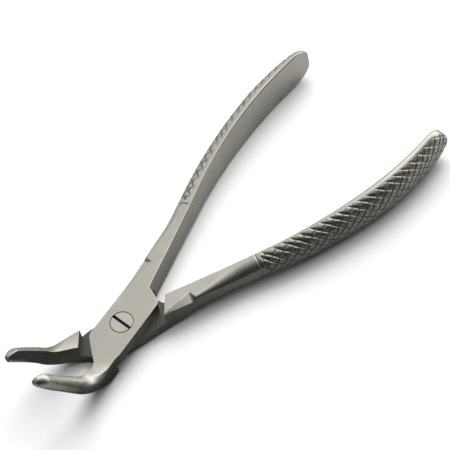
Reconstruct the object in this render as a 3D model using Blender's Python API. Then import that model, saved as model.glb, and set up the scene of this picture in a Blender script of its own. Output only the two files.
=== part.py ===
"""Extraction forceps for lower teeth: two forged levers, half-lapped, on one slotted screw.

Frame: +X runs from the pivot towards the handles, +Z is the pivot axis, and the beaks rise to +Z.
The origin is on the pivot axis, at the joint's flat underside.  The tool is modelled open.
The upper lever's handle is at +Y and its beak at -Y; the lower lever is its mirror image in Y,
apart from the joint plate, which is the other half of the lap.
"""
import bisect
import math

import bmesh
import bpy
from mathutils import Matrix, Vector

MM = 0.001

# Joint: two plates, each half of the joint's thickness, between square shoulders.
JOINT_THICKNESS = 9.4
LAP_GAP = 0.1
SHOULDER_ANGLE = 45.5            # direction of the shoulders' normal, from +X
HANDLE_SHOULDER = 15.1           # distance of each shoulder from the pivot
BEAK_SHOULDER = 15.0
PLATE_EDGE_ROUND = 0.3

# Screw: flush slotted head in the upper plate, shank through to the underside.
HEAD_RADIUS = 4.1
HEAD_HEIGHT = 2.2
SHANK_RADIUS = 2.6
RUNNING_GAP = 0.08
FIXED_GAP = 0.05
HEAD_CHAMFER = 0.12
SLOT_WIDTH = 0.9
SLOT_DEPTH = 1.2
SLOT_TURN = 3.5                  # degrees from the Y axis

# Handle: straight neck, then one long bow, with a flat inner face and a round outer one.
# The two forgings differ a little at the handle's end.
HANDLE_ROOT = (16.4, 3.0)
HANDLE_SPLAY = 22.0
NECK_LENGTH = 41.3
BOW_RADIUS = 187.0
END_BOW_START = 78.0
UPPER_HANDLE = {"length": 115.7, "end_bow_radius": 187.0, "end_thickness": 3.6}
LOWER_HANDLE = {"length": 119.9, "end_bow_radius": 128.0, "end_thickness": 4.1}
NECK_HALF_WIDTH = JOINT_THICKNESS / 2
PALM_HALF_WIDTH = 7.8
PALM_RANGE = (16.0, 92.0)        # where the handle widens, along its length
END_RISE = 0.4                   # how far the end's foremost point lies above its middle
END_UPPER_ROUNDING = 8.0         # length over which the end rounds off above that point
END_LOWER_ROUNDING = 10.0        # and below it
END_SHAPE = 2.2                  # exponent of the end's outline
END_EDGE_ROUND = 1.5             # rounding of the end across the handle's thickness
HANDLE_THICKNESS = ((0.0, 8.8), (4.0, 7.9), (8.0, 7.15), (12.0, 6.8), (31.0, 6.2),
                    (50.0, 6.3), (85.0, 6.3), (100.0, 5.7))
ROOT_SKEW = ((0.0, 134.0), (2.0, 134.0), (9.0, 115.0), (12.0, 112.0))
BARE_RANGE = (1.0, 14.0)         # where the outer face turns from flat to round
OUTER_ROUND = (0.86, 0.93)       # of the thickness and of half the width
INNER_EDGE_ROUND = 0.9
INNER_EDGE_SHARE = (0.13, 0.45)  # most of the thickness and of half the width that this takes

# Beak: its upper edge bends from the joint's top face and then runs straight to the tip.
# Distances along the beak start BEAK_ORIGIN_X from the pivot.
BEAK_ORIGIN_X = -14.0
BEND_START = 1.3
BEND_RADIUS = 12.8
BEND_ANGLE = 56.0
BEAK_LENGTH = 35.6
BEAK_WIDTH = ((0.0, 9.4), (1.5, 9.3), (3.6, 8.3), (5.5, 7.2), (8.5, 6.3), (12.0, 5.7),
              (20.0, 5.2), (30.0, 5.0), (BEAK_LENGTH, 4.8))
BEAK_INNER_Y = ((3.2, 4.1), (5.6, 5.6), (10.5, 7.0), (16.0, 7.7), (24.0, 7.4), (BEAK_LENGTH, 6.35))
BEAK_OUTER_Y = ((-2.1, 9.3), (0.3, 9.9), (3.2, 10.9), (6.8, 11.9), (10.5, 12.4), (15.0, 12.4),
                (20.0, 12.0), (26.0, 11.3), (31.5, 10.3), (34.0, 9.2), (BEAK_LENGTH, 7.9))
TIP_UPPER_START = 30.8
TIP_LOWER_START = 34.0
TIP_DROP = 3.3                   # how far the tip lies under the beak's upper edge
ROOT_ROUNDING = 10.0             # length over which the beak's outer side turns round
CROWN = 0.86                     # of the thickness, across both outer corners
CROWN_UPPER = 0.56               # of the width, down the upper outer corner
CROWN_LOWER = 0.36               # of the width, up the lower outer corner
HOLLOW_DEPTH = 0.7
HOLLOW_RANGE = (19.0, 25.0, 33.5, 35.6)
BEAK_EDGE_SHARE = 0.1            # most of the thickness or width that the inner edges' rounding takes

# Plate outline, as far as it differs from a straight line, in order from handle to beak.
PLATE_HANDLE_INNER = ((18.1, 3.7), (16.4, 3.0), (15.4, -0.6), (14.4, -3.4), (13.3, -4.6),
                      (-9.3, -9.2), (-12.1, -9.4))
PLATE_HANDLE_OUTER = ((12.1, 9.7), (10.2, 9.3), (-7.2, 6.0), (-10.2, 5.6), (-11.6, 4.7), (-15.0, -0.2),
                      (-17.2, -4.0))
UNDERSIDE_ROUND = 0.9            # outer bottom edge of the joint
UNDER_ROOT_ROUND = (1.3, 3.0)    # the same edge where it meets the beak
UNDER_ROOT_START = -7.0          # where that rounding starts to grow

# Finishes, until the detailed model replaces them.
FORGED_COLOUR = (0.60, 0.59, 0.56)
FORGED_ROUGHNESS = 0.36
SCREW_COLOUR = (0.64, 0.63, 0.60)
SCREW_ROUGHNESS = 0.30

# Where the sections lie: along the handle, across the plate, and along the beak.
PALM_STATIONS = tuple(104.0 - 5.0 * i for i in range(15))
NECK_STATIONS = (30.0, 24.0, 19.0, 15.0, 12.0, 9.5, 7.0, 5.0, 3.5)
PLATE_STATIONS = (13.6, 10.2, 7.5, 6.0, 3.0, 0.0, -1.5, -3.0, -4.3, -7.0, -10.3, -13.0)
ROOT_STATIONS = ((-1.9, 3.3), (0.3, 4.7), (2.9, 6.2), (6.3, 8.4), (10.3, 10.8))   # outer, inner
BLADE_STATIONS = (12.5, 14.5, 17.0, 20.0, 23.0, 26.0, 28.5)

CORNER_STEPS = 5                 # facets round each corner of a section
END_STEPS = 9                    # sections round the handle's end and round the tip
FACE_STEPS = 4                   # facets across a flat or hollow side
SCREW_SIDES = 64
SHARP_ANGLE = 30.0               # edges sharper than this show as edges
CUT_REACH = 30.0                 # how far a block cutter runs past the lever
HOLE_REACH = 1.0                 # how far a hole's or slot's cutter runs past its ends


def interpolate(table, value):
    """Smooth value through a table's points, without overshoot (monotone cubic)."""
    xs = [point[0] for point in table]
    ys = [point[1] for point in table]
    if value <= xs[0]:
        return ys[0]
    if value >= xs[-1]:
        return ys[-1]
    slopes = [(ys[i + 1] - ys[i]) / (xs[i + 1] - xs[i]) for i in range(len(xs) - 1)]
    tangents = [slopes[0]]
    for before, after in zip(slopes, slopes[1:]):
        tangents.append(2 * before * after / (before + after) if before * after > 0 else 0.0)
    tangents.append(slopes[-1])
    i = bisect.bisect_right(xs, value) - 1
    width = xs[i + 1] - xs[i]
    t = (value - xs[i]) / width
    return ((2 * t ** 3 - 3 * t ** 2 + 1) * ys[i] + (t ** 3 - 2 * t ** 2 + t) * width * tangents[i]
            + (3 * t ** 2 - 2 * t ** 3) * ys[i + 1] + (t ** 3 - t ** 2) * width * tangents[i + 1])


def smoothstep(low, high, value):
    """Eases from 0 at low to 1 at high."""
    t = min(1.0, max(0.0, (value - low) / (high - low)))
    return t * t * (3 - 2 * t)


def section(top_1, top_2, up_1, up_2, width_1, width_2, round_1, round_2, hollow=0.0):
    """Closed loop of points across a lever.

    Side 1 faces the other handle, or away from the tooth; side 2 is the opposite one.  top_ and
    up_ are the side's upper edge and its upward direction and width_ its size downwards.  round_
    holds the size across and downwards of the side's upper corner, then of its lower one.
    hollow sinks the middle of side 2.
    """
    across = (top_2 - top_1).length
    loop = []

    def place(a, c):
        f = a / across
        depth = width_1 * (1 - f) + width_2 * f
        up = up_1.lerp(up_2, f).normalized()
        return top_1.lerp(top_2, f) - up * (c * depth)

    def corner(side, upper):
        radius, drop = (round_1 if side == 1 else round_2)[0 if upper else 1]
        depth = width_1 if side == 1 else width_2
        points = []
        for step in range(CORNER_STEPS + 1):
            angle = math.pi / 2 * step / CORNER_STEPS
            a = radius * (1 - math.sin(angle))
            c = drop * (1 - math.cos(angle)) / depth
            points.append((a if side == 1 else across - a, c if upper else 1 - c))
        return points

    loop += reversed(corner(1, True))
    loop += corner(2, True)
    flat_top = round_2[0][1] / width_2
    flat_bottom = 1 - round_2[1][1] / width_2
    for step in range(1, FACE_STEPS):
        c = flat_top + (flat_bottom - flat_top) * step / FACE_STEPS
        loop.append((across - hollow * (1 - (2 * c - 1) ** 2), c))
    loop += reversed(corner(2, False))
    loop += corner(1, False)
    return [place(a, c) for a, c in loop]


def handle_inner(s, handle):
    """Point and direction of the handle's flat inner face, s along it from its root."""
    heading = math.radians(HANDLE_SPLAY)
    straight = min(s, NECK_LENGTH)
    x = HANDLE_ROOT[0] + straight * math.cos(heading)
    y = HANDLE_ROOT[1] + straight * math.sin(heading)
    for start, end, radius in ((NECK_LENGTH, END_BOW_START, BOW_RADIUS),
                               (END_BOW_START, handle["length"], handle["end_bow_radius"])):
        ahead = heading - max(0.0, min(s, end) - start) / radius
        x += radius * (math.sin(heading) - math.sin(ahead))
        y += radius * (math.cos(ahead) - math.cos(heading))
        heading = ahead
    return x, y, heading


def end_share(distance, rounding):
    """Share of the half width that is left at a distance from the handle's end."""
    return (1 - max(0.0, 1 - distance / rounding) ** END_SHAPE) ** (1 / END_SHAPE)


def handle_section(s, handle):
    """Section s along the handle; its end rounds off both in outline and in thickness."""
    x, y, heading = handle_inner(s, handle)
    length = handle["length"]
    half = NECK_HALF_WIDTH + (PALM_HALF_WIDTH - NECK_HALF_WIDTH) * smoothstep(*PALM_RANGE, s)
    thickness = interpolate((*HANDLE_THICKNESS, (length, handle["end_thickness"])), s)
    foremost = JOINT_THICKNESS / 2 + END_RISE
    top = foremost + (half - END_RISE) * end_share(length - s, END_UPPER_ROUNDING)
    bottom = foremost - (half + END_RISE) * end_share(length - s, END_LOWER_ROUNDING)
    half = (top - bottom) / 2
    edge_rounding = max(0.0, (s - length + END_EDGE_ROUND) / END_EDGE_ROUND)
    thinning = END_EDGE_ROUND * (1 - math.sqrt(1 - edge_rounding ** 2))
    if s < ROOT_SKEW[-1][0]:
        lean = math.radians(interpolate(ROOT_SKEW, s))
    else:
        lean = heading + math.pi / 2
    up = Vector((0, 0, 1))
    across_way = Vector((math.cos(lean), math.sin(lean), 0))
    inner = Vector((x, y, top)) + across_way * thinning
    outer = Vector((x, y, top)) + across_way * (thickness - thinning)
    thickness -= 2 * thinning
    bare = smoothstep(*BARE_RANGE, s)
    inner_round = PLATE_EDGE_ROUND + (INNER_EDGE_ROUND - PLATE_EDGE_ROUND) * smoothstep(*PALM_RANGE, s)
    inner_round = min(inner_round, INNER_EDGE_SHARE[0] * thickness, INNER_EDGE_SHARE[1] * half)
    across = PLATE_EDGE_ROUND + (OUTER_ROUND[0] * thickness - PLATE_EDGE_ROUND) * bare
    upper = PLATE_EDGE_ROUND + (OUTER_ROUND[1] * half - PLATE_EDGE_ROUND) * bare
    under = UNDERSIDE_ROUND + (OUTER_ROUND[1] * half - UNDERSIDE_ROUND) * bare
    return section(inner, outer, up, up, 2 * half, 2 * half, ((inner_round, inner_round),) * 2,
                   ((across, upper), (max(across, under * (1 - bare)), under)))


def across_plate(outline, w):
    """Point of a plate outline at distance w from the pivot along the shoulders' normal."""
    angle = math.radians(SHOULDER_ANGLE)
    normal = (math.cos(angle), math.sin(angle))
    reach = [x * normal[0] + y * normal[1] for x, y in outline]
    for i in range(len(outline) - 1):
        if reach[i] >= w >= reach[i + 1]:
            t = (reach[i] - w) / (reach[i] - reach[i + 1])
            return tuple(outline[i][k] * (1 - t) + outline[i + 1][k] * t for k in (0, 1))
    return outline[0] if w > reach[0] else outline[-1]


def plate_section(w):
    up = Vector((0, 0, 1))
    sides = [Vector((*across_plate(outline, w), JOINT_THICKNESS))
             for outline in (PLATE_HANDLE_INNER, PLATE_HANDLE_OUTER)]
    edge = (PLATE_EDGE_ROUND, PLATE_EDGE_ROUND)
    rooted = min(1.0, max(0.0, (UNDER_ROOT_START - w) / (BEAK_SHOULDER + UNDER_ROOT_START)))
    under_1 = [PLATE_EDGE_ROUND + (size - PLATE_EDGE_ROUND) * rooted for size in UNDER_ROOT_ROUND]
    under_2 = (UNDERSIDE_ROUND * (1 - rooted) + PLATE_EDGE_ROUND * rooted,) * 2
    return section(*sides, up, up, JOINT_THICKNESS, JOINT_THICKNESS, (edge, under_1), (edge, under_2))


def beak_edge(s):
    """The beak's upper edge in the XZ plane, and the direction square to it."""
    bend = math.radians(BEND_ANGLE)
    turned = min(bend, max(0.0, (s - BEND_START) / BEND_RADIUS))
    past = max(0.0, s - BEND_START - BEND_RADIUS * bend)
    x = BEAK_ORIGIN_X - min(s, BEND_START) - BEND_RADIUS * math.sin(turned) - past * math.cos(bend)
    z = JOINT_THICKNESS + BEND_RADIUS * (1 - math.cos(turned)) + past * math.sin(bend)
    return x, z, Vector((math.sin(turned), 0, math.cos(turned)))


def beak_section(s_outer, s_inner):
    rounded = smoothstep(0.0, ROOT_ROUNDING, s_outer)
    edges = []
    for s, table in ((s_outer, BEAK_OUTER_Y), (s_inner, BEAK_INNER_Y)):
        x, z, up = beak_edge(s)
        upper = max(0.0, (s - TIP_UPPER_START) / (BEAK_LENGTH - TIP_UPPER_START))
        lower = max(0.0, (s - TIP_LOWER_START) / (BEAK_LENGTH - TIP_LOWER_START))
        top_drop = TIP_DROP * (1 - math.sqrt(1 - upper ** 2))
        bottom = TIP_DROP + (interpolate(BEAK_WIDTH, s) - TIP_DROP) * math.sqrt(1 - lower ** 2)
        edge = Vector((x, -interpolate(table, s), z)) - up * top_drop
        edges.append((edge, up, bottom - top_drop))
    (top_1, up_1, width_1), (top_2, up_2, width_2) = edges
    thickness = (top_2 - top_1).length
    low, full, end, stop = HOLLOW_RANGE
    hollow = HOLLOW_DEPTH * smoothstep(low, full, s_inner) * (1 - smoothstep(end, stop, s_inner))
    across = PLATE_EDGE_ROUND + (CROWN * thickness - PLATE_EDGE_ROUND) * rounded
    upper = PLATE_EDGE_ROUND + (CROWN_UPPER * width_1 - PLATE_EDGE_ROUND) * rounded
    low_across = UNDER_ROOT_ROUND[0] + (CROWN * thickness - UNDER_ROOT_ROUND[0]) * rounded
    under = UNDER_ROOT_ROUND[1] + (CROWN_LOWER * width_1 - UNDER_ROOT_ROUND[1]) * rounded
    inner = [min(PLATE_EDGE_ROUND, BEAK_EDGE_SHARE * size) for size in (thickness, width_2)]
    return section(top_1, top_2, up_1, up_2, width_1, width_2, ((across, upper), (low_across, under)),
                   (inner, inner), hollow)


def lever_sections(handle):
    """Sections of the upper lever's forging, from the handle's end to the beak's tip."""
    end = [handle["length"] - END_LOWER_ROUNDING * (1 - math.cos(math.pi / 2 * (i + 0.5) / END_STEPS))
           for i in range(END_STEPS)]
    tip = [TIP_UPPER_START + (BEAK_LENGTH - TIP_UPPER_START) * math.sin(math.pi / 2 * (i + 0.5) / END_STEPS)
           for i in range(END_STEPS)]
    return ([handle_section(s, handle) for s in (*end, *PALM_STATIONS, *NECK_STATIONS)]
            + [plate_section(w) for w in PLATE_STATIONS]
            + [beak_section(*pair) for pair in ROOT_STATIONS]
            + [beak_section(s, s) for s in (*BLADE_STATIONS, *tip)])


def steel(name, colour, roughness):
    material = bpy.data.materials.new(name)
    material.use_nodes = True
    shader = material.node_tree.nodes["Principled BSDF"]
    shader.inputs["Base Color"].default_value = (*colour, 1.0)
    shader.inputs["Metallic"].default_value = 1.0
    shader.inputs["Roughness"].default_value = roughness
    return material


def new_object(name, bm, material=None):
    bmesh.ops.recalc_face_normals(bm, faces=bm.faces)
    mesh = bpy.data.meshes.new(name)
    bm.to_mesh(mesh)
    bm.free()
    mesh.shade_smooth()
    mesh.set_sharp_from_angle(angle=math.radians(SHARP_ANGLE))
    if material:
        mesh.materials.append(material)
    obj = bpy.data.objects.new(name, mesh)
    bpy.context.scene.collection.objects.link(obj)
    return obj


def new_cutter(name, bm):
    cutter = new_object(name, bm)
    cutter.hide_render = True
    cutter.display_type = 'WIRE'
    return cutter


def cut(obj, cutter):
    modifier = obj.modifiers.new(cutter.name, 'BOOLEAN')
    modifier.operation = 'DIFFERENCE'
    modifier.solver = 'EXACT'
    modifier.object = cutter


def loft(sections, mirror):
    """Closed mesh through the sections, with a flat cap at each end."""
    bm = bmesh.new()
    side = -1 if mirror else 1
    rings = [[bm.verts.new((p.x * MM, side * p.y * MM, p.z * MM)) for p in loop] for loop in sections]
    for first, second in zip(rings, rings[1:]):
        for i in range(len(first)):
            j = (i + 1) % len(first)
            bm.faces.new((first[i], first[j], second[j], second[i]))
    bm.faces.new(rings[0])
    bm.faces.new(list(reversed(rings[-1])))
    return bm


def turned(profile):
    """Round piece on the pivot axis, from a profile of (radius, z) that starts and ends on it."""
    bm = bmesh.new()
    rings = []
    for radius, z in profile[1:-1]:
        rings.append([bm.verts.new((radius * MM * math.cos(2 * math.pi * i / SCREW_SIDES),
                                    radius * MM * math.sin(2 * math.pi * i / SCREW_SIDES), z * MM))
                      for i in range(SCREW_SIDES)])
    for first, second in zip(rings, rings[1:]):
        for i in range(SCREW_SIDES):
            j = (i + 1) % SCREW_SIDES
            bm.faces.new((first[i], first[j], second[j], second[i]))
    bm.faces.new(rings[0])
    bm.faces.new(list(reversed(rings[-1])))
    return bm


def block(x_range, y_range, z_range, angle=0.0):
    """Box between the given limits, turned about the pivot axis."""
    bm = bmesh.new()
    bmesh.ops.create_cube(bm, size=1.0)
    ranges = (x_range, y_range, z_range)
    bmesh.ops.scale(bm, vec=[(high - low) * MM for low, high in ranges], verts=bm.verts)
    bmesh.ops.translate(bm, vec=[(high + low) / 2 * MM for low, high in ranges], verts=bm.verts)
    bmesh.ops.rotate(bm, cent=(0, 0, 0), matrix=Matrix.Rotation(math.radians(angle), 3, 'Z'), verts=bm.verts)
    return bm


def build_upper_lever(material):
    lever = new_object("upper_lever", loft(lever_sections(UPPER_HANDLE), mirror=False), material)
    lap = block((-BEAK_SHOULDER, HANDLE_SHOULDER), (-CUT_REACH, CUT_REACH),
                (-CUT_REACH, JOINT_THICKNESS / 2 + LAP_GAP / 2), SHOULDER_ANGLE)
    cut(lever, new_cutter("upper_lap", lap))
    seat = JOINT_THICKNESS - HEAD_HEIGHT - FIXED_GAP
    bore = SHANK_RADIUS + RUNNING_GAP
    well = HEAD_RADIUS + RUNNING_GAP
    top = JOINT_THICKNESS + HOLE_REACH
    hole = turned(((0, -HOLE_REACH), (bore, -HOLE_REACH), (bore, seat), (well, seat), (well, top), (0, top)))
    cut(lever, new_cutter("upper_hole", hole))


def build_lower_lever(material):
    lever = new_object("lower_lever", loft(lever_sections(LOWER_HANDLE), mirror=True), material)
    lap = block((-BEAK_SHOULDER, HANDLE_SHOULDER), (-CUT_REACH, CUT_REACH),
                (JOINT_THICKNESS / 2 - LAP_GAP / 2, JOINT_THICKNESS + CUT_REACH), -SHOULDER_ANGLE)
    cut(lever, new_cutter("lower_lap", lap))
    bore = SHANK_RADIUS + FIXED_GAP
    hole = turned(((0, -HOLE_REACH), (bore, -HOLE_REACH), (bore, JOINT_THICKNESS), (0, JOINT_THICKNESS)))
    cut(lever, new_cutter("lower_hole", hole))


def build_screw(material):
    under_head = JOINT_THICKNESS - HEAD_HEIGHT
    screw = new_object("pivot_screw", turned((
        (0, 0), (SHANK_RADIUS, 0), (SHANK_RADIUS, under_head), (HEAD_RADIUS, under_head),
        (HEAD_RADIUS, JOINT_THICKNESS - HEAD_CHAMFER), (HEAD_RADIUS - HEAD_CHAMFER, JOINT_THICKNESS),
        (0, JOINT_THICKNESS))), material)
    slot = block((-SLOT_WIDTH / 2, SLOT_WIDTH / 2), (-CUT_REACH, CUT_REACH),
                 (JOINT_THICKNESS - SLOT_DEPTH, JOINT_THICKNESS + HOLE_REACH), SLOT_TURN)
    cut(screw, new_cutter("screw_slot", slot))


def main():
    for obj in list(bpy.data.objects):
        bpy.data.objects.remove(obj)
    forged = steel("forged_steel", FORGED_COLOUR, FORGED_ROUGHNESS)
    machined = steel("screw_steel", SCREW_COLOUR, SCREW_ROUGHNESS)
    build_upper_lever(forged)
    build_lower_lever(forged)
    build_screw(machined)


main()
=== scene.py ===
import math

import bmesh
import bpy
import numpy as np
from mathutils import Matrix, Vector


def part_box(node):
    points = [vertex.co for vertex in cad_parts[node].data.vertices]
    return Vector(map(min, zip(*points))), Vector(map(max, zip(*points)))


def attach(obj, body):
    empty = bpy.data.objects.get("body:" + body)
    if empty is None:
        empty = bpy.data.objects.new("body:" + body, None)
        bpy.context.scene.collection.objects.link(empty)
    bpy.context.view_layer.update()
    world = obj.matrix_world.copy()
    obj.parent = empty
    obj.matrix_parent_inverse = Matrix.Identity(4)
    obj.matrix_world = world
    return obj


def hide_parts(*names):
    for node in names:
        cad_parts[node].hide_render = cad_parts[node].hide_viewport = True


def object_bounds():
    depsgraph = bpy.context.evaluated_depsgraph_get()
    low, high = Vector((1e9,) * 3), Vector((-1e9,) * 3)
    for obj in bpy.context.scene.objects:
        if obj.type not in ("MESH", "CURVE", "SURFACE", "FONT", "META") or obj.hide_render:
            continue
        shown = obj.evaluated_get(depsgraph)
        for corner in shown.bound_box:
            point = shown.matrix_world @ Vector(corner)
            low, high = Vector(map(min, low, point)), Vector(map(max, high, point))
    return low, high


# Extraction forceps: two forged levers and a slotted screw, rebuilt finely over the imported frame.
# Lengths are in millimetres up to the point where a mesh is made, and the row frame is metres.
MM = 0.001

# ---------------------------------------------------------------- the frame and its sizes
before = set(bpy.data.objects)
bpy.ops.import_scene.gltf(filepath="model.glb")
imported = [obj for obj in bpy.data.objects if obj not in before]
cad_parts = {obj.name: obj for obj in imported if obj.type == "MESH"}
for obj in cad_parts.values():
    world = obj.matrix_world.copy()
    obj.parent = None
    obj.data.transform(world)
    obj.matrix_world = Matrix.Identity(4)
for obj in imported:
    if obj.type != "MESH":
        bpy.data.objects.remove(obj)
CAD_LOW, CAD_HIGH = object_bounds()
UPPER_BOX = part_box("upper_lever")
LOWER_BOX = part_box("lower_lever")
SCREW_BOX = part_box("pivot_screw")
THICKNESS = (SCREW_BOX[1].z - SCREW_BOX[0].z) / MM      # of the joint
HEAD_RADIUS = SCREW_BOX[1].x / MM

# Joint, as the CAD source has it.
LAP_GAP = 0.1
SHOULDER_ANGLE = 45.5
HANDLE_SHOULDER = 15.1
BEAK_SHOULDER = 15.0
EDGE_ROUND = 0.3
HEAD_HEIGHT = 2.2
SHANK_RADIUS = 2.6
RUNNING_GAP = 0.08
FIXED_GAP = 0.05
HEAD_CHAMFER = 0.12
SLOT_WIDTH = 0.9
SLOT_DEPTH = 1.2
SLOT_TURN = 3.5
SLOT_CHAMFER = 0.1
HOLE_CHAMFER = 0.14

# Handles, as the CAD source has them.
HANDLE_ROOT = (16.4, 3.0)
HANDLE_SPLAY = 22.0
NECK_LENGTH = 41.3
BOW_RADIUS = 187.0
END_BOW_START = 78.0
UPPER_HANDLE = {"length": 115.7, "end_bow_radius": 187.0, "end_thickness": 3.6,
                "margin": (1.2, 1.5), "seed": 5, "flank": 0.35}
LOWER_HANDLE = {"length": 119.9, "end_bow_radius": 128.0, "end_thickness": 4.1,
                "margin": (0.6, 2.4), "seed": 2, "flank": 0.85}
NECK_HALF_WIDTH = THICKNESS / 2
PALM_HALF_WIDTH = 7.8
PALM_RANGE = (16.0, 92.0)
END_RISE = 0.4
END_UPPER_ROUNDING = 8.0
END_LOWER_ROUNDING = 10.0
END_SHAPE = 2.2
END_EDGE_ROUND = 1.5
HANDLE_THICKNESS = ((0.0, 8.8), (4.0, 7.9), (8.0, 7.15), (12.0, 6.8), (31.0, 6.2),
                    (50.0, 6.3), (85.0, 6.3), (100.0, 5.7))
ROOT_SKEW = ((0.0, 134.0), (2.0, 134.0), (9.0, 115.0), (12.0, 112.0))
BARE_RANGE = (1.0, 14.0)
OUTER_ROUND = (0.86, 0.93)
INNER_EDGE_ROUND = 0.9
INNER_EDGE_SHARE = (0.13, 0.45)

# Beaks, as the CAD source has them.
BEAK_ORIGIN_X = -14.0
BEND_START = 1.3
BEND_RADIUS = 12.8
BEND_ANGLE = 56.0
BEAK_LENGTH = 35.6
BEAK_WIDTH = ((0.0, 9.4), (1.5, 9.3), (3.6, 8.3), (5.5, 7.2), (8.5, 6.3), (12.0, 5.7),
              (20.0, 5.2), (30.0, 5.0), (BEAK_LENGTH, 4.8))
BEAK_INNER_Y = ((3.2, 4.1), (5.6, 5.6), (10.5, 7.0), (16.0, 7.7), (24.0, 7.4), (BEAK_LENGTH, 6.35))
BEAK_OUTER_Y = ((-2.1, 9.3), (0.3, 9.9), (3.2, 10.9), (6.8, 11.9), (10.5, 12.4), (15.0, 12.4),
                (20.0, 12.0), (26.0, 11.3), (31.5, 10.3), (34.0, 9.2), (BEAK_LENGTH, 7.9))
TIP_UPPER_START = 30.8
TIP_LOWER_START = 34.0
TIP_DROP = 3.3
ROOT_ROUNDING = 10.0
CROWN = 0.86
CROWN_UPPER = 0.56
CROWN_LOWER = 0.36
HOLLOW_DEPTH = 0.7
HOLLOW_RANGE = (19.0, 25.0, 33.5, 35.6)
ROOT_PAIRS = ((3.3, -1.9), (4.7, 0.3), (6.2, 2.9), (8.4, 6.3), (10.8, 10.3), (12.5, 12.5))

# Plate outline and undersides, as the CAD source has them.
PLATE_INNER = ((18.1, 3.7), (16.4, 3.0), (15.4, -0.6), (14.4, -3.4), (13.3, -4.6), (-9.3, -9.2),
               (-12.1, -9.4))
PLATE_OUTER = ((12.1, 9.7), (10.2, 9.3), (-7.2, 6.0), (-10.2, 5.6), (-11.6, 4.7), (-15.0, -0.2),
               (-17.2, -4.0))
PLATE_BLEND = 0.75                      # half the length over which the outline's corners blend
PLATE_RANGE = (13.6, -13.0)
ROOT_UNDER_START = -7.0
UNDERSIDE_ROUND = 0.9
UNDER_ROOT_ROUND = (1.3, 3.0)

# Finish detail that the solids leave out.
FACET_RANGE = (0.6, 9.6)                # flat triangular facet on the neck's outer top edge
FACET_SIZE = (3.6, 1.3)
FACET_STEP = 1.4
NECK_ROUND_START = 0.30                 # share of the outer rounding left where the facet ends
NECK_ROUND_END = 30.0
GRIP_START = 37.2
RING_AT = 36.0
RING_DEPTH = 0.2
RING_HALF_WIDTH = 0.3
GROOVE_SLANT = 1.1                      # round the handle, per length along it
GROOVE_1 = {"first": 36.75, "pitch": 3.85, "below": 0.5, "above": (0.65, 1.75),
            "depth": 0.40, "jitter": 0.5}
GROOVE_2 = {"first": 31.65, "pitch": 3.75, "below": 0.48, "above": (0.48, 0.48),
            "depth": 0.42, "jitter": 0.3}
GROOVE_WIDE = (1.0, 6.0)                # above the crown, where the first family's upper flank widens
GROOVE_WIDE_END = (58.0, 92.0)          # along the handle, where it narrows again
GROOVE_WOBBLE = 0.22
GROOVE_RAMP = 1.9                       # length over which a groove deepens from the smooth margin

# Mesh resolution.
FINE_STEPS = 10
WIDE_STEPS = 40
FLAT_POINTS = 4
FACE_POINTS = 9
GRIP_STEP = 0.19
NECK_STEP = 0.8
PLATE_STEP = 0.5
BEAK_STEP = 0.5
END_STEPS = 24
TURNED_SIDES = 192
CUT_REACH = 30.0
SHARP_ANGLE = 32.0

# Surface, in metres.
GRAIN_DEPTH = 0.0000015
TURNING_PITCH = 0.00022                 # of the screw's turning marks

# Stations along a lever, where its sections stand.
NECK_END = 12.5                         # the neck's wide steps start past here
ROOT_END = 12.0
ROOT_STEP = 0.4
ROOT_LIMIT = 3.4
BEAK_ROOT_START = 3.3
BLADE_START = 12.5
JOINING_SHARES = (0.25, 0.5, 0.75)      # sections that blend the plate into the beak's root
JOINT_MARGIN = 3                        # sections past each end of the joint that are carved with it

# Floor: what the camera sees, and what the steel mirrors. The mirrored one is a darker copy, painted
# shade, and changes along a
# direction over ranges in metres: painted shadow round the joint, painted light towards the handles and
# past the beaks.
FLOOR_SIZE = 3.0
FLOOR_COLOUR = (0.9, 0.9, 0.91)
FLOOR_DEPTHS = (-0.00006, -0.00003)     # of the seen and the mirrored floor, under the tool
REST_REACH = -0.016                     # the flat underside ends here, towards the beaks
HANDLES_FROM = 0.05                     # the handles' part of the tool, past here
MIRRORED_SHADE_COLOUR = (0.30, 0.30, 0.295)
MIRRORED_WAY = (0.6, 0.8, 0.0)
MIRRORED_SHADE_RANGE = (-0.010, 0.070)
MIRRORED_SHADE_TONE = (0.045, 0.42)
MIRRORED_LIT_RANGE = (-0.042, -0.024)
MIRRORED_LIT_TONE = (0.24, 0.0)

# Soft sources of the room, seen by reflections: azimuth, elevation, tightness and strength.
ROOM_GLOW = 0.03
ROOM_TINT = (1.0, 0.99, 0.965, 1)
WORLD_LIGHTS = (
    (8.0, 44.0, 5.0, 0.66),
    (78.0, 38.0, 14.0, 1.12),
    (100.0, 10.0, 9.0, 1.7),
    (100.0, 64.0, 14.0, 0.80),
    (20.0, 5.0, 6.0, 0.45),
    (66.0, 62.0, 60.0, 1.30),
    (66.0, 0.0, 30.0, 1.30),
)

# Camera, in the row frame.
CAMERA_PLACE = (-0.15675, -0.34975, 0.59515)
CAMERA_RIGHT = (0.70434, -0.69103, -0.16245)
CAMERA_UP = (0.64688, 0.53058, 0.54775)
LENS = 160
SENSOR = 36

Z = np.array((0.0, 0.0, 1.0))


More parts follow.
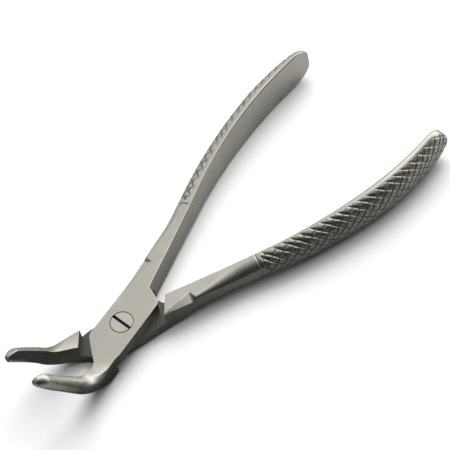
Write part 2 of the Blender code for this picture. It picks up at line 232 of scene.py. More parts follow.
# ---------------------------------------------------------------- shapes
def interpolate(table, value):
    """Smooth value through a table's points, without overshoot (monotone cubic)."""
    xs = [point[0] for point in table]
    ys = [point[1] for point in table]
    if value <= xs[0]:
        return ys[0]
    if value >= xs[-1]:
        return ys[-1]
    slopes = [(ys[i + 1] - ys[i]) / (xs[i + 1] - xs[i]) for i in range(len(xs) - 1)]
    tangents = [slopes[0]]
    for before, after in zip(slopes, slopes[1:]):
        tangents.append(2 * before * after / (before + after) if before * after > 0 else 0.0)
    tangents.append(slopes[-1])
    i = int(np.searchsorted(xs, value, side="right")) - 1
    width = xs[i + 1] - xs[i]
    t = (value - xs[i]) / width
    return ((2 * t ** 3 - 3 * t ** 2 + 1) * ys[i] + (t ** 3 - 2 * t ** 2 + t) * width * tangents[i]
            + (3 * t ** 2 - 2 * t ** 3) * ys[i + 1] + (t ** 3 - t ** 2) * width * tangents[i + 1])


def smoothstep(low, high, value):
    """0 below low, 1 above high, and smooth between."""
    t = np.clip((value - low) / (high - low), 0.0, 1.0)
    return t * t * (3 - 2 * t)


def corner(steps, size, power):
    """Distances in from the side and down from the edge, from the edge's face to the side."""
    angle = np.linspace(0, np.pi / 2, steps + 1)
    return (size[0] * (1 - np.sin(angle) ** (2 / power)),
            size[1] * (1 - np.cos(angle) ** (2 / power)))


def between(start, end, count):
    """count values strictly between two."""
    return start + (end - start) * np.arange(1, count + 1) / (count + 1)


def section(top_1, top_2, up_1, up_2, width_1, width_2, round_1, round_2, hollow=0.0, power=2.0):
    """Closed loop of points across a lever, from its two upper edges.

    The same construction as the CAD source's, with more points, and with a straight facet for the
    outer upper edge where power is 1.
    """
    across = float(np.linalg.norm(top_2 - top_1))
    upper_1 = corner(FINE_STEPS, round_1[0], 2.0)
    upper_2 = corner(WIDE_STEPS, round_2[0], power)
    lower_2 = corner(WIDE_STEPS, round_2[1], 2.0)
    lower_1 = corner(FINE_STEPS, round_1[1], 2.0)
    face = between(round_2[0][1] / width_2, 1 - round_2[1][1] / width_2, FACE_POINTS)
    a = np.concatenate((
        upper_1[0][::-1],
        between(round_1[0][0], across - round_2[0][0], FLAT_POINTS),
        across - upper_2[0],
        across - hollow * (1 - (2 * face - 1) ** 2),
        across - lower_2[0][::-1],
        between(across - round_2[1][0], round_1[1][0], FLAT_POINTS),
        lower_1[0],
        np.zeros(FACE_POINTS)))
    c = np.concatenate((
        upper_1[1][::-1] / width_1,
        np.zeros(FLAT_POINTS),
        upper_2[1] / width_2,
        face,
        1 - lower_2[1][::-1] / width_2,
        np.ones(FLAT_POINTS),
        1 - lower_1[1] / width_1,
        between(1 - round_1[1][1] / width_1, round_1[0][1] / width_1, FACE_POINTS)))
    f = (a / across)[:, None]
    depth = width_1 * (1 - f) + width_2 * f
    up = up_1 * (1 - f) + up_2 * f
    up /= np.linalg.norm(up, axis=1)[:, None]
    return top_1 * (1 - f) + top_2 * f - up * c[:, None] * depth


CROWN_POINT = FINE_STEPS + 1 + FLAT_POINTS + WIDE_STEPS + 1 + FACE_POINTS // 2


def handle_inner(s, handle):
    """Point and direction of the handle's flat inner face, s along it from its root."""
    heading = math.radians(HANDLE_SPLAY)
    straight = min(s, NECK_LENGTH)
    x = HANDLE_ROOT[0] + straight * math.cos(heading)
    y = HANDLE_ROOT[1] + straight * math.sin(heading)
    for start, end, radius in ((NECK_LENGTH, END_BOW_START, BOW_RADIUS),
                               (END_BOW_START, handle["length"], handle["end_bow_radius"])):
        ahead = heading - max(0.0, min(s, end) - start) / radius
        x += radius * (math.sin(heading) - math.sin(ahead))
        y += radius * (math.cos(ahead) - math.cos(heading))
        heading = ahead
    return x, y, heading


def groove_lines(groove, seed):
    """Places where a family of grooves crosses the crown, with a hand-cut unevenness."""
    lines = groove["first"] + groove["pitch"] * np.arange(30)
    return lines + groove["jitter"] * np.random.default_rng(seed).uniform(-1, 1, len(lines))


def groove_depth(groove, lines, place, ramp, height, flank):
    """Depth of a family of grooves at each place across them, at a height above the crown."""
    nearest = place[:, None] - lines[None, :]
    narrow, wide = groove["above"]
    width = narrow + flank * (wide - narrow) * smoothstep(*GROOVE_WIDE, height)
    above = 1 - nearest / (width * (0.35 + 0.65 * ramp))[:, None]
    below = 1 + nearest / groove["below"]
    return groove["depth"] * ramp * np.clip(np.minimum(above, below), 0, 1).max(axis=1)


def grip(points, s, handle):
    """The handle's section with its cut pattern: moved points and the depth cut at each."""
    ahead = np.roll(points, -1, axis=0) - np.roll(points, 1, axis=0)
    ahead /= np.linalg.norm(ahead, axis=1)[:, None]
    side = points[CROWN_POINT] - points[0]
    side[2] = 0
    side /= np.linalg.norm(side)
    outward = (ahead @ side)[:, None] * Z - ahead[:, 2:3] * side
    steps = np.linalg.norm(np.diff(points, axis=0), axis=1)
    arc = np.concatenate(((0.0,), np.cumsum(steps)))
    round_the_side = arc[CROWN_POINT] - arc
    last = len(points) - 1 - FACE_POINTS
    rim = np.minimum(arc, arc[last] - arc)
    near, far = handle["margin"]
    margin = near + (far - near) * smoothstep(45.0, 90.0, s)
    ramp = smoothstep(0, GROOVE_RAMP, rim - margin) * smoothstep(GRIP_START, GRIP_START + 0.8, s)
    ramp = ramp * (1 - smoothstep(handle["length"] - 1.6, handle["length"] - 0.3, s))
    wobble = GROOVE_WOBBLE * np.sin(1.9 * round_the_side + 0.8 * s) * np.sin(0.37 * s)
    height = round_the_side - 4.0 * float(smoothstep(*GROOVE_WIDE_END, s))
    turn = GROOVE_SLANT * round_the_side
    flank = handle["flank"]
    first = groove_depth(GROOVE_1, handle["lines"][0], s + turn + wobble, ramp, height, flank)
    second = groove_depth(GROOVE_2, handle["lines"][1], s - turn + wobble, ramp, height, flank)
    cut_depth = np.maximum(first, second * (1 - 0.35 * smoothstep(5.0, 8.0, round_the_side)))
    ring = RING_DEPTH * np.clip(1 - abs(s - RING_AT) / RING_HALF_WIDTH, 0, 1)
    cut_depth = cut_depth + ring * smoothstep(0.0, 1.2, rim - 0.3)
    return points - outward * cut_depth[:, None], cut_depth


def end_share(distance, rounding):
    """Share of the half width that is left at a distance from the handle's end."""
    return (1 - max(0.0, 1 - distance / rounding) ** END_SHAPE) ** (1 / END_SHAPE)


def handle_section(s, handle):
    x, y, heading = handle_inner(s, handle)
    length = handle["length"]
    half = NECK_HALF_WIDTH + (PALM_HALF_WIDTH - NECK_HALF_WIDTH) * smoothstep(*PALM_RANGE, s)
    thickness = interpolate((*HANDLE_THICKNESS, (length, handle["end_thickness"])), s)
    foremost = THICKNESS / 2 + END_RISE
    top = foremost + (half - END_RISE) * end_share(length - s, END_UPPER_ROUNDING)
    bottom = foremost - (half + END_RISE) * end_share(length - s, END_LOWER_ROUNDING)
    half = (top - bottom) / 2
    edge_rounding = max(0.0, (s - length + END_EDGE_ROUND) / END_EDGE_ROUND)
    thinning = END_EDGE_ROUND * (1 - math.sqrt(1 - edge_rounding ** 2))
    if s < ROOT_SKEW[-1][0]:
        lean = math.radians(interpolate(ROOT_SKEW, s))
    else:
        lean = heading + math.pi / 2
    across_way = np.array((math.cos(lean), math.sin(lean), 0))
    inner = np.array((x, y, top)) + across_way * thinning
    outer = np.array((x, y, top)) + across_way * (thickness - thinning)
    thickness -= 2 * thinning
    bare = smoothstep(*BARE_RANGE, s)
    inner_round = EDGE_ROUND + (INNER_EDGE_ROUND - EDGE_ROUND) * smoothstep(*PALM_RANGE, s)
    inner_round = min(inner_round, INNER_EDGE_SHARE[0] * thickness, INNER_EDGE_SHARE[1] * half)
    across = EDGE_ROUND + (OUTER_ROUND[0] * thickness - EDGE_ROUND) * bare
    upper = EDGE_ROUND + (OUTER_ROUND[1] * half - EDGE_ROUND) * bare
    under = UNDERSIDE_ROUND + (OUTER_ROUND[1] * half - UNDERSIDE_ROUND) * bare
    facet = max(0.0, (s - FACET_RANGE[0]) / (FACET_RANGE[1] - FACET_RANGE[0]))
    past = float(smoothstep(FACET_RANGE[1], FACET_RANGE[1] + FACET_STEP, s))
    opened = NECK_ROUND_START + (1 - NECK_ROUND_START) * smoothstep(FACET_RANGE[1], NECK_ROUND_END, s)
    upper_size = [max(EDGE_ROUND, facet * size) * (1 - past) + full * opened * past
                  for size, full in zip(FACET_SIZE, (across, upper))]
    points = section(inner, outer, Z, Z, 2 * half, 2 * half, ((inner_round, inner_round),) * 2,
                     (upper_size, (max(across, under * (1 - bare)), under)), power=1 + past)
    return grip(points, s, handle)


def across_plate(outline, w):
    """Point of a plate outline at distance w from the pivot along the shoulders' normal."""
    angle = math.radians(SHOULDER_ANGLE)
    normal = (math.cos(angle), math.sin(angle))
    reach = [x * normal[0] + y * normal[1] for x, y in outline]
    for i in range(len(outline) - 1):
        if reach[i] >= w >= reach[i + 1]:
            t = (reach[i] - w) / (reach[i] - reach[i + 1])
            return [outline[i][k] * (1 - t) + outline[i + 1][k] * t for k in (0, 1)]
    return outline[0] if w > reach[0] else outline[-1]


def blended_plate(outline, w):
    """across_plate with the outline's corners blended."""
    reach = min(PLATE_BLEND, PLATE_RANGE[0] - w, w - PLATE_RANGE[1])
    spots = [across_plate(outline, w + reach * t) for t in np.linspace(-1, 1, 9)]
    return np.mean(spots, axis=0)


def plate_section(w):
    sides = [np.array((*blended_plate(outline, w), THICKNESS)) for outline in (PLATE_INNER, PLATE_OUTER)]
    edge = (EDGE_ROUND, EDGE_ROUND)
    rooted = min(1.0, max(0.0, (ROOT_UNDER_START - w) / (BEAK_SHOULDER + ROOT_UNDER_START)))
    under_1 = [EDGE_ROUND + (size - EDGE_ROUND) * rooted for size in UNDER_ROOT_ROUND]
    under_2 = (UNDERSIDE_ROUND * (1 - rooted) + EDGE_ROUND * rooted,) * 2
    return section(*sides, Z, Z, THICKNESS, THICKNESS, (edge, under_1), (edge, under_2))


def beak_edge(s):
    """The beak's upper edge in the XZ plane, and the direction square to it."""
    bend = math.radians(BEND_ANGLE)
    turned = min(bend, max(0.0, (s - BEND_START) / BEND_RADIUS))
    past = max(0.0, s - BEND_START - BEND_RADIUS * bend)
    x = BEAK_ORIGIN_X - min(s, BEND_START) - BEND_RADIUS * math.sin(turned) - past * math.cos(bend)
    z = THICKNESS + BEND_RADIUS * (1 - math.cos(turned)) + past * math.sin(bend)
    return x, z, np.array((math.sin(turned), 0, math.cos(turned)))


def beak_section(s_outer, s_inner):
    rounded = float(smoothstep(0.0, ROOT_ROUNDING, s_outer))
    edges = []
    for s, table in ((s_outer, BEAK_OUTER_Y), (s_inner, BEAK_INNER_Y)):
        x, z, up = beak_edge(s)
        upper = max(0.0, (s - TIP_UPPER_START) / (BEAK_LENGTH - TIP_UPPER_START))
        lower = max(0.0, (s - TIP_LOWER_START) / (BEAK_LENGTH - TIP_LOWER_START))
        top_drop = TIP_DROP * (1 - math.sqrt(1 - upper ** 2))
        bottom = TIP_DROP + (interpolate(BEAK_WIDTH, s) - TIP_DROP) * math.sqrt(1 - lower ** 2)
        edges.append((np.array((x, -interpolate(table, s), z)) - up * top_drop, up, bottom - top_drop))
    (top_1, up_1, width_1), (top_2, up_2, width_2) = edges
    thickness = float(np.linalg.norm(top_2 - top_1))
    low, full, end, stop = HOLLOW_RANGE
    hollow = HOLLOW_DEPTH * smoothstep(low, full, s_inner) * (1 - smoothstep(end, stop, s_inner))
    across = EDGE_ROUND + (CROWN * thickness - EDGE_ROUND) * rounded
    upper = EDGE_ROUND + (CROWN_UPPER * width_1 - EDGE_ROUND) * rounded
    low_across = UNDER_ROOT_ROUND[0] + (CROWN * thickness - UNDER_ROOT_ROUND[0]) * rounded
    under = UNDER_ROOT_ROUND[1] + (CROWN_LOWER * width_1 - UNDER_ROOT_ROUND[1]) * rounded
    inner = (min(EDGE_ROUND, 0.1 * thickness), min(EDGE_ROUND, 0.1 * width_2))
    return section(top_1, top_2, up_1, up_2, width_1, width_2, ((across, upper), (low_across, under)),
                   (inner, inner), hollow)


def eased_end(start, length, steps):
    """Stations that crowd towards the end of a rounded end."""
    return [start + length * math.sin(math.pi / 2 * (i + 0.5) / steps) for i in range(steps)]


def lever_loops(handle):
    """Sections from the handle's end to the beak's tip, and the range of them that is the joint.

    Each is its points and the depth cut at each.
    """
    end_start = handle["length"] - END_LOWER_ROUNDING
    ends = eased_end(end_start, END_LOWER_ROUNDING, 3 * END_STEPS)[::-1]
    palm = np.arange(end_start, RING_AT - 1.0, -GRIP_STEP)
    neck = np.concatenate((np.arange(palm[-1] - NECK_STEP, NECK_END, -NECK_STEP),
                           np.arange(ROOT_END, ROOT_LIMIT, -ROOT_STEP)))
    loops = [handle_section(float(s), handle) for s in (*ends, *palm, *neck)]
    first = len(loops) - JOINT_MARGIN
    plain = [plate_section(w) for w in np.arange(PLATE_RANGE[0], PLATE_RANGE[1], -PLATE_STEP)]
    root = [beak_section(interpolate(ROOT_PAIRS, s), s)
            for s in np.arange(BEAK_ROOT_START, BLADE_START, ROOT_STEP)]
    joining = [plain[-1] + (root[0] - plain[-1]) * share for share in JOINING_SHARES]
    blade = [beak_section(s, s) for s in np.arange(BLADE_START, TIP_UPPER_START, BEAK_STEP)]
    tip = [beak_section(s, s)
           for s in eased_end(TIP_UPPER_START, BEAK_LENGTH - TIP_UPPER_START, END_STEPS)]
    loops += [(points, np.zeros(len(points))) for points in plain + joining + root + blade + tip]
    last = first + JOINT_MARGIN + len(plain) + len(joining) + JOINT_MARGIN
    return loops, first, last


# ---------------------------------------------------------------- meshes
def rings_of(bm, loops, side):
    """Vertex rings for the loops, with the depth cut stored on them."""
    layer = bm.verts.layers.float.get("groove") or bm.verts.layers.float.new("groove")
    rings = []
    for points, depth in loops:
        ring = []
        for point, cut_depth in zip(points, depth):
            vert = bm.verts.new((point[0] * MM, side * point[1] * MM, point[2] * MM))
            vert[layer] = cut_depth
            ring.append(vert)
        rings.append(ring)
    return rings


def skin(bm, rings):
    for first, second in zip(rings, rings[1:]):
        for i in range(len(first)):
            j = (i + 1) % len(first)
            bm.faces.new((first[i], first[j], second[j], second[i]))


def turned_mesh(profile):
    """Round solid on the pivot axis from a (radius, z) profile that starts and ends on the axis."""
    bm = bmesh.new()
    angle = 2 * np.pi * np.arange(TURNED_SIDES) / TURNED_SIDES
    rings = [[bm.verts.new((radius * MM * math.cos(a), radius * MM * math.sin(a), z * MM))
              for a in angle] for radius, z in profile[1:-1]]
    skin(bm, rings)
    bm.faces.new(rings[0])
    bm.faces.new(rings[-1])
    return bm


def prism_mesh(outline, reach, angle):
    """Solid with an (x, z) outline that runs along Y, turned about the pivot axis."""
    bm = bmesh.new()
    ends = [[bm.verts.new((x * MM, y * MM, z * MM)) for x, z in outline] for y in (-reach, reach)]
    skin(bm, ends)
    bm.faces.new(ends[0])
    bm.faces.new(ends[1])
    turn = Matrix.Rotation(math.radians(angle), 3, 'Z')
    bmesh.ops.rotate(bm, cent=(0, 0, 0), matrix=turn, verts=bm.verts)
    return bm


def cutter_object(name, bm):
    """Cutter whose faces mark the recesses that they leave, which take a dark painted shade."""
    mark = bm.faces.layers.int.new("recess")
    for face in bm.faces:
        face[mark] = 1
    return mesh_object(name, bm)


def mesh_object(name, bm):
    bmesh.ops.recalc_face_normals(bm, faces=bm.faces)
    mesh = bpy.data.meshes.new(name)
    bm.to_mesh(mesh)
    bm.free()
    obj = bpy.data.objects.new(name, mesh)
    bpy.context.scene.collection.objects.link(obj)
    return obj


def carved(obj, cutters):
    """The object's mesh with the cutters taken away, as a bmesh. Removes all of them."""
    for cutter in cutters:
        modifier = obj.modifiers.new(cutter.name, 'BOOLEAN')
        modifier.operation = 'DIFFERENCE'
        modifier.solver = 'EXACT'
        modifier.object = cutter
    bpy.context.view_layer.update()
    evaluated = obj.evaluated_get(bpy.context.evaluated_depsgraph_get())
    bm = bmesh.new()
    bm.from_mesh(evaluated.to_mesh())
    evaluated.to_mesh_clear()
    for used in (obj, *cutters):
        bpy.data.objects.remove(used)
    return bm


def finished(name, bm, box, body, cad_node, materials):
    """The piece itself: kept inside its CAD box, smooth with sharp edges, and tied to the frame."""
    mark = bm.faces.layers.int["recess"]
    # Faces left by the cutters take the second material, a dark painted shade.
    for face in bm.faces:
        face.material_index = face[mark]
    for vert in bm.verts:
        vert.co = [min(max(v, low), high) for v, low, high in zip(vert.co, *box)]
    obj = mesh_object(name, bm)
    obj.data.shade_smooth()
    obj.data.set_sharp_from_angle(angle=math.radians(SHARP_ANGLE))
    weighted = obj.modifiers.new("face_weights", 'WEIGHTED_NORMAL')
    weighted.keep_sharp = True
    for material in materials:
        obj.data.materials.append(material)
    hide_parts(cad_node)
    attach(obj, body)
    return obj


def lever(name, handle, mirror, cutters, box, body, cad_node, materials):
    """One lever: the joint's stretch is carved by the cutters, then handle and beak are added to it."""
    side = -1 if mirror else 1
    handle["lines"] = (groove_lines(GROOVE_1, handle["seed"]),
                       groove_lines(GROOVE_2, handle["seed"] + 1))
    loops, first, last = lever_loops(handle)
    bm = bmesh.new()
    flag = bm.faces.layers.int.new("cap")
    rings = rings_of(bm, loops[first:last], side)
    skin(bm, rings)
    for ring in (rings[0], rings[-1]):
        bm.faces.new(ring)[flag] = 1
    bm = carved(mesh_object(name + "_joint", bm), cutters)
    flag = bm.faces.layers.int["cap"]
    bmesh.ops.delete(bm, geom=[f for f in bm.faces if f[flag]], context='FACES_ONLY')
    for part, end in ((loops[:first + 1], 0), (loops[last - 1:], -1)):
        rings = rings_of(bm, part, side)
        skin(bm, rings)
        bm.faces.new(rings[end])
    bmesh.ops.remove_doubles(bm, verts=bm.verts, dist=1e-7)
    return finished(name, bm, box, body, cad_node, materials)


# ---------------------------------------------------------------- materials
def node(tree, kind, links=None, **values):
    """New shader node; a value sets an input or a property, links join other nodes' outputs."""
    made = tree.nodes.new(kind)
    for key, value in values.items():
        setattr(made, key, value)
    for socket, source in (links or {}).items():
        if isinstance(source, bpy.types.NodeSocket):
            tree.links.new(source, made.inputs[socket])
        else:
            made.inputs[socket].default_value = source
    return made


def math_node(tree, operation, a, b=0.0, clamp=False):
    return node(tree, 'ShaderNodeMath', {0: a, 1: b}, operation=operation, use_clamp=clamp).outputs[0]


def noise(tree, place, scale, detail=2.0, stretch=(1, 1, 1), rough=0.5):
    mapped = node(tree, 'ShaderNodeMapping', {"Vector": place, "Scale": stretch}).outputs[0]
    return node(tree, 'ShaderNodeTexNoise', {"Vector": mapped, "Scale": scale, "Detail": detail,
                                             "Roughness": rough}).outputs["Fac"]


def spread(tree, value, low, high, to_low, to_high):
    return node(tree, 'ShaderNodeMapRange', {0: value, 1: low, 2: high, 3: to_low, 4: to_high}).outputs[0]


def satin_steel(name, colour, roughness, lines):
    """Bead-blasted and brushed stainless steel, its grooves darkened with painted shade and made duller,
    with fine wear.
    """
    material = bpy.data.materials.new(name)
    material.use_nodes = True
    tree = material.node_tree
    shader = tree.nodes["Principled BSDF"]
    shader.inputs["Metallic"].default_value = 1.0
    place = node(tree, 'ShaderNodeTexCoord').outputs["Object"]
    groove = node(tree, 'ShaderNodeAttribute', attribute_name="groove").outputs["Fac"]
    cloud = noise(tree, place, 170.0, 3.0)
    patch = noise(tree, place, 60.0, 2.0)
    grain = noise(tree, place, 5200.0, 2.0, rough=0.6)
    fleck = noise(tree, place, 2100.0, 2.0)
    brushed = noise(tree, place, 900.0, 3.0, stretch=lines)
    hair = noise(tree, place, 260.0, 2.0, stretch=(0.5, 14.0, 6.0))
    scratch = spread(tree, hair, 0.72, 0.80, 0.0, 0.6)

    # Colour: cloudy and flecked, darkened with painted shade in the grooves, light along hair scratches.
    groove_shade = spread(tree, groove, 0.03, 0.34, 0.0, 1.0)
    tone = math_node(tree, 'ADD', spread(tree, cloud, 0.3, 0.7, 0.95, 1.04),
                     spread(tree, fleck, 0.3, 0.7, -0.008, 0.008))
    tone = math_node(tree, 'ADD', tone, spread(tree, patch, 0.35, 0.65, -0.025, 0.025))
    # Painted shade: the colour is darkened in the grooves.
    tone = math_node(tree, 'SUBTRACT', tone, math_node(tree, 'MULTIPLY', groove_shade, 0.60))
    tone = math_node(tree, 'ADD', tone, math_node(tree, 'MULTIPLY', scratch, 0.06))
    shade = node(tree, 'ShaderNodeVectorMath', {0: (*colour,), 3: tone}, operation='SCALE')
    tree.links.new(shade.outputs[0], shader.inputs["Base Color"])

    # Roughness.
    dull = math_node(tree, 'ADD', spread(tree, fleck, 0.3, 0.7, roughness - 0.02, roughness + 0.025),
                     spread(tree, cloud, 0.3, 0.7, -0.02, 0.03))
    dull = math_node(tree, 'ADD', dull, math_node(tree, 'MULTIPLY', groove_shade, 0.16))
    dull = math_node(tree, 'SUBTRACT', dull, math_node(tree, 'MULTIPLY', scratch, 0.08), clamp=True)
    tree.links.new(dull, shader.inputs["Roughness"])

    # Relief of the blasted and brushed skin.
    height = math_node(tree, 'ADD', math_node(tree, 'MULTIPLY', grain, 0.45),
                       math_node(tree, 'MULTIPLY', fleck, 0.35))
    height = math_node(tree, 'ADD', height, math_node(tree, 'MULTIPLY', brushed, 0.35))
    height = math_node(tree, 'SUBTRACT', height, math_node(tree, 'MULTIPLY', scratch, 0.25))
    bump = node(tree, 'ShaderNodeBump', {"Strength": 1.0, "Distance": GRAIN_DEPTH, "Height": height})
    tree.links.new(bump.outputs[0], shader.inputs["Normal"])
    return material


def turned_steel(name, colour, roughness):
    """Screw steel with fine concentric turning marks."""
    material = satin_steel(name, colour, roughness, (1, 1, 1))
    tree = material.node_tree
    place = node(tree, 'ShaderNodeTexCoord').outputs["Object"]
    flat = node(tree, 'ShaderNodeVectorMath', {0: place, 1: (1, 1, 0)}, operation='MULTIPLY').outputs[0]
    radius = node(tree, 'ShaderNodeVectorMath', {0: flat}, operation='LENGTH').outputs["Value"]
    marks = math_node(tree, 'SINE', math_node(tree, 'MULTIPLY', radius, 2 * math.pi / TURNING_PITCH))
    bump = next(n for n in tree.nodes if n.type == 'BUMP')
    height = bump.inputs["Height"].links[0].from_socket
    total = math_node(tree, 'ADD', height, math_node(tree, 'MULTIPLY', marks, 0.16))
    tree.links.new(total, bump.inputs["Height"])
    return material


# ---------------------------------------------------------------- the three pieces
def build_levers():
    # The second material is a dark painted shade for the faces that the cutters leave at the joint: laps,
    # shoulders and holes.
    materials = (satin_steel("forged_satin_steel", (0.60, 0.585, 0.53), 0.28, (0.06, 1.0, 1.0)),
                 satin_steel("painted_shade_joint_steel", (0.13, 0.13, 0.12), 0.34, (1.0, 1.0, 1.0)))
    reach = CUT_REACH
    seat = THICKNESS - HEAD_HEIGHT - FIXED_GAP
    bore = SHANK_RADIUS + RUNNING_GAP
    well = HEAD_RADIUS + RUNNING_GAP
    upper_face = THICKNESS / 2 + LAP_GAP / 2
    lower_face = THICKNESS / 2 - LAP_GAP / 2
    upper_lap = ((-BEAK_SHOULDER, -reach), (HANDLE_SHOULDER, -reach),
                 (HANDLE_SHOULDER, upper_face), (-BEAK_SHOULDER, upper_face))
    upper_cutters = [
        cutter_object("upper_lap", prism_mesh(upper_lap, reach, SHOULDER_ANGLE)),
        cutter_object("upper_hole", turned_mesh((
            (0, -1), (bore, -1), (bore, seat), (well, seat), (well, THICKNESS - HOLE_CHAMFER),
            (well + HOLE_CHAMFER, THICKNESS), (well + HOLE_CHAMFER, THICKNESS + 1), (0, THICKNESS + 1))))]
    upper = lever("upper_lever_steel", UPPER_HANDLE, False, upper_cutters, UPPER_BOX, "upper",
                  "upper_lever", materials)
    lower_lap = ((-BEAK_SHOULDER, lower_face), (HANDLE_SHOULDER, lower_face),
                 (HANDLE_SHOULDER, THICKNESS + reach), (-BEAK_SHOULDER, THICKNESS + reach))
    fixed = SHANK_RADIUS + FIXED_GAP
    lower_cutters = [
        cutter_object("lower_lap", prism_mesh(lower_lap, reach, -SHOULDER_ANGLE)),
        cutter_object("lower_hole", turned_mesh((
            (0, -1), (fixed + HOLE_CHAMFER, -1), (fixed + HOLE_CHAMFER, 0), (fixed, HOLE_CHAMFER),
            (fixed, THICKNESS), (0, THICKNESS))))]
    lower = lever("lower_lever_steel", LOWER_HANDLE, True, lower_cutters, LOWER_BOX, "lower",
                  "lower_lever", materials)
    return upper, lower


def build_screw():
    # The second material is a dark painted shade for the faces of the slot.
    materials = (turned_steel("turned_screw_steel", (0.66, 0.65, 0.61), 0.27),
                 satin_steel("painted_shade_slot_steel", (0.10, 0.10, 0.095), 0.40, (1, 1, 1)))
    under_head = THICKNESS - HEAD_HEIGHT
    body = mesh_object("screw_body", turned_mesh((
        (0, 0), (SHANK_RADIUS - HEAD_CHAMFER, 0), (SHANK_RADIUS, HEAD_CHAMFER), (SHANK_RADIUS, under_head),
        (HEAD_RADIUS, under_head), (HEAD_RADIUS, THICKNESS - HEAD_CHAMFER),
        (HEAD_RADIUS - HEAD_CHAMFER, THICKNESS), (0, THICKNESS))))
    half = SLOT_WIDTH / 2
    floor = THICKNESS - SLOT_DEPTH
    lip = THICKNESS - SLOT_CHAMFER
    slot = ((-half, floor), (half, floor), (half, lip), (half + SLOT_CHAMFER, THICKNESS),
            (half + SLOT_CHAMFER, THICKNESS + 1), (-half - SLOT_CHAMFER, THICKNESS + 1),
            (-half - SLOT_CHAMFER, THICKNESS), (-half, lip))
    cutter = cutter_object("screw_slot", prism_mesh(slot, CUT_REACH, SLOT_TURN))
    return finished("pivot_screw_steel", carved(body, [cutter]), SCREW_BOX, "lower", "pivot_screw",
                    materials)


# ---------------------------------------------------------------- floor, light and camera
def resting_slope(objects):
    """Where the tool rests: the back edge of its flat underside, and the floor's slope from there."""
    points = np.concatenate([np.array([v.co for v in obj.data.vertices]) for obj in objects])
    start = points[points[:, 2] < 1e-5][:, 0].min()
    start = max(start, REST_REACH)
    far = points[points[:, 0] > HANDLES_FROM]
    return start, ((far[:, 2]) / (far[:, 0] - start)).min()


def floor_plane(name, start, slope, height, albedo):
    """A wide matt plane, sloped as the tool rests on it."""
    bm = bmesh.new()
    bmesh.ops.create_grid(bm, x_segments=1, y_segments=1, size=FLOOR_SIZE)
    floor = mesh_object(name, bm)
    floor.rotation_euler = (0, -math.atan(slope), 0)
    floor.location = (start, 0, height)
    material = bpy.data.materials.new(name)
    material.use_nodes = True
    shader = material.node_tree.nodes["Principled BSDF"]
    shader.inputs["Base Color"].default_value = (*albedo, 1)
    shader.inputs["Roughness"].default_value = 0.9
    shader.inputs["Specular IOR Level"].default_value = 0.1
    floor.data.materials.append(material)
    return floor


def build_floor(objects):
    """A pale floor, and a darker copy of it that only the steel mirrors: painted shade, with painted
    shadow round the joint and painted light towards the handles and past the beaks.
    """
    start, slope = resting_slope(objects)
    floor = floor_plane("floor", start, slope, FLOOR_DEPTHS[0], FLOOR_COLOUR)
    floor.visible_glossy = False
    mirrored = floor_plane("painted_shade_mirrored_floor", start, slope, FLOOR_DEPTHS[1], MIRRORED_SHADE_COLOUR)
    tree = mirrored.data.materials[0].node_tree
    place = node(tree, 'ShaderNodeTexCoord').outputs["Object"]
    along = node(tree, 'ShaderNodeVectorMath', {0: place, 1: MIRRORED_WAY}, operation='DOT_PRODUCT')
    along = along.outputs["Value"]
    # Painted shade and light: darker round the joint, lighter towards the handles, and lighter again past
    # the beaks.
    tone = math_node(tree, 'ADD', spread(tree, along, *MIRRORED_SHADE_RANGE, *MIRRORED_SHADE_TONE),
                     spread(tree, along, *MIRRORED_LIT_RANGE, *MIRRORED_LIT_TONE))
    tree.links.new(tone, tree.nodes["Principled BSDF"].inputs["Base Color"])
    mirrored.visible_camera = False
    mirrored.visible_diffuse = False
    mirrored.visible_shadow = False


def direction(azimuth, elevation):
    """Unit vector; azimuth runs from +Y towards +X, in degrees."""
    a = math.radians(azimuth)
    e = math.radians(elevation)
    return Vector((math.sin(a) * math.cos(e), math.cos(a) * math.cos(e), math.sin(e)))


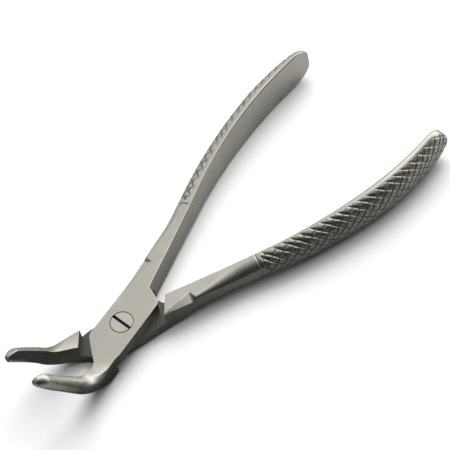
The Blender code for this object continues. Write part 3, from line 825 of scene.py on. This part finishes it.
def build_world():
    """A dim room with soft bright sides, seen by reflections; plain pale to the camera."""
    world = bpy.data.worlds.new("soft_studio")
    bpy.context.scene.world = world
    world.use_nodes = True
    tree = world.node_tree
    tree.nodes.clear()
    look = node(tree, 'ShaderNodeTexCoord').outputs["Generated"]
    total = ROOM_GLOW
    for azimuth, elevation, tightness, strength in WORLD_LIGHTS:
        facing = node(tree, 'ShaderNodeVectorMath', {0: look, 1: direction(azimuth, elevation)},
                      operation='DOT_PRODUCT').outputs["Value"]
        power = math_node(tree, 'MULTIPLY', math_node(tree, 'SUBTRACT', facing, 1.0), tightness)
        glow = math_node(tree, 'MULTIPLY', math_node(tree, 'EXPONENT', power), strength)
        total = math_node(tree, 'ADD', glow, total)
    room = node(tree, 'ShaderNodeBackground', {"Color": ROOM_TINT, "Strength": total})
    plain = node(tree, 'ShaderNodeBackground', {"Color": (1, 1, 1, 1), "Strength": 1.0})
    seen = node(tree, 'ShaderNodeLightPath').outputs["Is Camera Ray"]
    mixed = node(tree, 'ShaderNodeMixShader', {0: seen, 1: room.outputs[0], 2: plain.outputs[0]})
    node(tree, 'ShaderNodeOutputWorld', {"Surface": mixed.outputs[0]})


def area_light(name, azimuth, elevation, distance, size, power):
    """A round light that aims at the tool's middle and isn't mirrored in the steel."""
    data = bpy.data.lights.new(name, 'AREA')
    data.shape = 'DISK'
    data.size = size
    data.energy = power
    obj = bpy.data.objects.new(name, data)
    aim = direction(azimuth, elevation)
    middle = (CAD_LOW + CAD_HIGH) / 2
    obj.location = middle + aim * distance
    obj.rotation_euler = aim.to_track_quat('Z', 'Y').to_euler()
    obj.visible_glossy = False
    bpy.context.scene.collection.objects.link(obj)


def build_camera():
    """The camera, looking down on the tool from in front of the lower lever."""
    data = bpy.data.cameras.new("camera")
    data.lens = LENS
    data.sensor_width = SENSOR
    data.clip_end = 10
    obj = bpy.data.objects.new("camera", data)
    right = Vector(CAMERA_RIGHT)
    up = Vector(CAMERA_UP)
    back = right.cross(up)
    obj.matrix_world = Matrix((right, up, back)).transposed().to_4x4()
    obj.location = CAMERA_PLACE
    bpy.context.scene.collection.objects.link(obj)
    bpy.context.scene.camera = obj


levers = build_levers()
build_screw()
build_floor(levers)
build_world()
area_light("key", 50, 50, 1.2, 1.1, 11.0)
area_light("overhead", 0, 88, 1.4, 1.6, 7.0)
build_camera()
bpy.context.scene.view_settings.view_transform = 'Standard'
